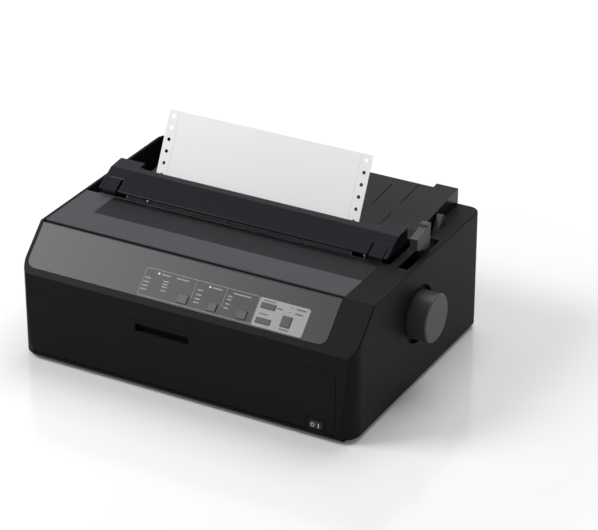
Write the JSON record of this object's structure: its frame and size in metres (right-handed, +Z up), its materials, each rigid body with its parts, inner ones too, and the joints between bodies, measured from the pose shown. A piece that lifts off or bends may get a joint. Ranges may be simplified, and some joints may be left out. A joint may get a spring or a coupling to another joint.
{
  "type": "dot matrix printer",
  "caption": "Black desktop dot matrix printer with a sloped button panel, smoked flat cover, raised cover over the platen, ribbed knob and a sheet of continuous paper",
  "frame": {"origin": "on the ground, under the middle of the outline of the whole printer seen from above", "axes": "+X to the right of somebody at its front, along the platen; +Y from its front to its back; +Z up"},
  "size_m": [0.41, 0.29, 0.2184],
  "materials": {
    "case_black": "fine grained",
    "panel_grey": "fine grained",
    "ridge_dark": "smooth satin",
    "smoked_cover": "frosted edges round a smoked window",
    "button_black": "smooth",
    "label_grey": "printed",
    "lamp_green": "moulded lenses",
    "mechanism_grey": "moulded",
    "gear_white": "moulded",
    "roller_rubber": "ground",
    "foot_rubber": "moulded",
    "bright_steel": "ground",
    "sheet_steel": "zinc plated",
    "motor_steel": "satin",
    "head_aluminium": "cast",
    "bronze": "sintered",
    "belt_rubber": "toothed",
    "ribbon_black": "inked nylon",
    "paper": "matt paper",
    "board_green": "solder masked",
    "lever_grey": "smooth"
  },
  "bodies": {
    "case": {"lower_case": "case_black", "upper_case": "case_black", "rubber_feet": "foot_rubber", "case_screws": "bright_steel", "control_panel": "panel_grey", "panel_label": "label_grey", "status_lamps": "lamp_green", "panel_board": "board_green", "left_side_frame": "sheet_steel", "right_side_frame": "sheet_steel", "platen_bushings": "bronze", "feed_motor": "motor_steel", "continuous_form": "paper", "paper_pan": "sheet_steel", "carriage_guide_shaft": "bright_steel", "front_rail": "sheet_steel", "carriage_motor": "motor_steel", "timing_belt": "belt_rubber", "ribbon_cartridge": "mechanism_grey", "ribbon": "ribbon_black", "tractor_support_shaft": "bright_steel", "main_board": "board_green", "power_board": "board_green", "power_inlet": "button_black", "interface_connectors": "motor_steel"},
    "platen": {"platen_roller": "roller_rubber", "platen_shaft": "bright_steel", "platen_knob": "case_black", "platen_gear": "gear_white"},
    "reduction": {"reduction_gear": "gear_white"},
    "tractor_drive": {"tractor_drive_shaft": "bright_steel", "tractor_gear": "gear_white"},
    "pinion": {"feed_pinion": "bronze"},
    "left_tractor": {"left_tractor_body": "mechanism_grey"},
    "left_lid": {"left_tractor_cover": "mechanism_grey"},
    "left_wheel": {"left_sprocket": "gear_white"},
    "right_tractor": {"right_tractor_body": "mechanism_grey"},
    "right_lid": {"right_tractor_cover": "mechanism_grey"},
    "right_wheel": {"right_sprocket": "gear_white"},
    "carriage": {"carriage_block": "mechanism_grey", "print_head": "head_aluminium"},
    "drive_pulley": {"motor_pulley": "gear_white"},
    "free_pulley": {"idler_pulley": "gear_white"},
    "flat_cover": {"printer_cover": "smoked_cover"},
    "raised_cover": {"ejector_cover": "ridge_dark"},
    "latch_left": {"left_latch": "ridge_dark"},
    "latch_right": {"right_latch": "ridge_dark"},
    "tension": {"tension_rollers": "roller_rubber"},
    "front_door": {"front_cover": "case_black"},
    "guide": {"paper_guide": "ridge_dark"},
    "thickness": {"thickness_lever": "lever_grey"},
    "release": {"release_lever": "lever_grey"},
    "rocker": {"power_rocker": "button_black"},
    "load_eject_key": {"load_eject_button": "button_black"},
    "feed_key": {"feed_button": "button_black"},
    "mode_key": {"mode_button": "button_black"},
    "font_key": {"font_button": "button_black"},
    "pitch_key": {"pitch_button": "button_black"},
    "pause_key": {"pause_button": "button_black"}
  },
  "joints": [
    {"name": "platen_spin", "type": "hinge", "parent": "case", "child": "platen", "pos_m": [-0.016, 0.001, 0.081], "axis": [1, 0, 0], "continuous": true},
    {"name": "reduction_spin", "type": "hinge", "parent": "case", "child": "reduction", "pos_m": [-0.164, 0.045, 0.081], "axis": [1, 0, 0], "continuous": true},
    {"name": "tractor_drive_spin", "type": "hinge", "parent": "case", "child": "tractor_drive", "pos_m": [-0.016, 0.083, 0.09349], "axis": [1, 0, 0], "continuous": true},
    {"name": "feed_pinion_spin", "type": "hinge", "parent": "case", "child": "pinion", "pos_m": [-0.16, 0.06, 0.05502], "axis": [1, 0, 0], "continuous": true},
    {"name": "left_tractor_slide", "type": "slide", "parent": "case", "child": "left_tractor", "axis": [1, 0, 0], "range_m": [-0.003, 0.013]},
    {"name": "right_tractor_slide", "type": "slide", "parent": "case", "child": "right_tractor", "axis": [1, 0, 0], "range_m": [-0.12, 0.003]},
    {"name": "left_sprocket_spin", "type": "hinge", "parent": "left_tractor", "child": "left_wheel", "pos_m": [-0.1303, 0.083, 0.09349], "axis": [1, 0, 0], "continuous": true},
    {"name": "right_sprocket_spin", "type": "hinge", "parent": "right_tractor", "child": "right_wheel", "pos_m": [0.0983, 0.083, 0.09349], "axis": [1, 0, 0], "continuous": true},
    {"name": "left_tractor_cover_turn", "type": "hinge", "parent": "left_tractor", "child": "left_lid", "pos_m": [-0.1403, 0.078, 0.1045], "axis": [0, -1, 0], "range_deg": [0, 95]},
    {"name": "right_tractor_cover_turn", "type": "hinge", "parent": "right_tractor", "child": "right_lid", "pos_m": [0.1083, 0.078, 0.1045], "axis": [0, 1, 0], "range_deg": [0, 95]},
    {"name": "carriage_travel", "type": "slide", "parent": "case", "child": "carriage", "axis": [1, 0, 0], "range_m": [0, 0.202]},
    {"name": "motor_pulley_spin", "type": "hinge", "parent": "case", "child": "drive_pulley", "pos_m": [-0.128, -0.069, 0.044], "axis": [0, 0, 1], "range_deg": [-1880, 0]},
    {"name": "idler_pulley_spin", "type": "hinge", "parent": "case", "child": "free_pulley", "pos_m": [0.096, -0.069, 0.055], "axis": [0, 0, 1], "range_deg": [-1880, 0]},
    {"name": "printer_cover_turn", "type": "hinge", "parent": "case", "child": "flat_cover", "pos_m": [-0.025, -0.0924, 0.13595], "axis": [1, 0, 0], "range_deg": [0, 100]},
    {"name": "ejector_cover_lift", "type": "slide", "parent": "case", "child": "raised_cover", "axis": [0, 0.4462, 0.8949], "range_m": [0, 0.05]},
    {"name": "left_latch_press", "type": "slide", "parent": "raised_cover", "child": "latch_left", "axis": [1, 0, 0], "range_m": [0, 0.002], "stiffness_N_per_m": 200, "springref_m": -0.001},
    {"name": "right_latch_press", "type": "slide", "parent": "raised_cover", "child": "latch_right", "axis": [-1, 0, 0], "range_m": [0, 0.002], "stiffness_N_per_m": 200, "springref_m": -0.001},
    {"name": "tension_spin", "type": "hinge", "parent": "raised_cover", "child": "tension", "pos_m": [-0.016, 0.0103, 0.147], "axis": [1, 0, 0], "continuous": true},
    {"name": "front_cover_turn", "type": "hinge", "parent": "case", "child": "front_door", "pos_m": [-0.016, -0.1436, 0.0097], "axis": [1, 0, 0], "range_deg": [0, 85]},
    {"name": "paper_guide_turn", "type": "hinge", "parent": "case", "child": "guide", "pos_m": [-0.0013, 0.042, 0.133], "axis": [1, 0, 0], "range_deg": [0, 55]},
    {"name": "thickness_set", "type": "hinge", "parent": "case", "child": "thickness", "pos_m": [0.1726, 0.027, 0.06], "axis": [1, 0, 0], "range_deg": [-12, 12]},
    {"name": "release_set", "type": "hinge", "parent": "case", "child": "release", "pos_m": [0.1625, 0.027, 0.06], "axis": [1, 0, 0], "range_deg": [0, 10]},
    {"name": "power_switch", "type": "hinge", "parent": "case", "child": "rocker", "pos_m": [0.1445, -0.141, 0.015], "axis": [0, 0, 1], "range_deg": [-12, 0]},
    {"name": "load_eject_press", "type": "slide", "parent": "case", "child": "load_eject_key", "axis": [0, 0.6918, -0.7221], "range_m": [0, 0.0008], "stiffness_N_per_m": 500, "springref_m": -0.0004},
    {"name": "feed_press", "type": "slide", "parent": "case", "child": "feed_key", "axis": [0, 0.6918, -0.7221], "range_m": [0, 0.0008], "stiffness_N_per_m": 500, "springref_m": -0.0004},
    {"name": "mode_press", "type": "slide", "parent": "case", "child": "mode_key", "axis": [0, 0.6918, -0.7221], "range_m": [0, 0.0008], "stiffness_N_per_m": 500, "springref_m": -0.0004},
    {"name": "font_press", "type": "slide", "parent": "case", "child": "font_key", "axis": [0, 0.6918, -0.7221], "range_m": [0, 0.0008], "stiffness_N_per_m": 500, "springref_m": -0.0004},
    {"name": "pitch_press", "type": "slide", "parent": "case", "child": "pitch_key", "axis": [0, 0.6918, -0.7221], "range_m": [0, 0.0008], "stiffness_N_per_m": 500, "springref_m": -0.0004},
    {"name": "pause_press", "type": "slide", "parent": "case", "child": "pause_key", "axis": [0, 0.6918, -0.7221], "range_m": [0, 0.0008], "stiffness_N_per_m": 500, "springref_m": -0.0004}
  ],
  "couplings": [
    {"joint": "reduction_spin", "follows": "platen_spin", "ratio": -0.83333},
    {"joint": "tractor_drive_spin", "follows": "platen_spin", "ratio": 1.25},
    {"joint": "feed_pinion_spin", "follows": "platen_spin", "ratio": 3.3333},
    {"joint": "left_sprocket_spin", "follows": "platen_spin", "ratio": 1.25},
    {"joint": "right_sprocket_spin", "follows": "platen_spin", "ratio": 1.25},
    {"joint": "tension_spin", "follows": "platen_spin", "ratio": -2.8},
    {"joint": "motor_pulley_spin", "follows": "carriage_travel", "rad_per_m": -161.29},
    {"joint": "idler_pulley_spin", "follows": "carriage_travel", "rad_per_m": -161.29}
  ]
}
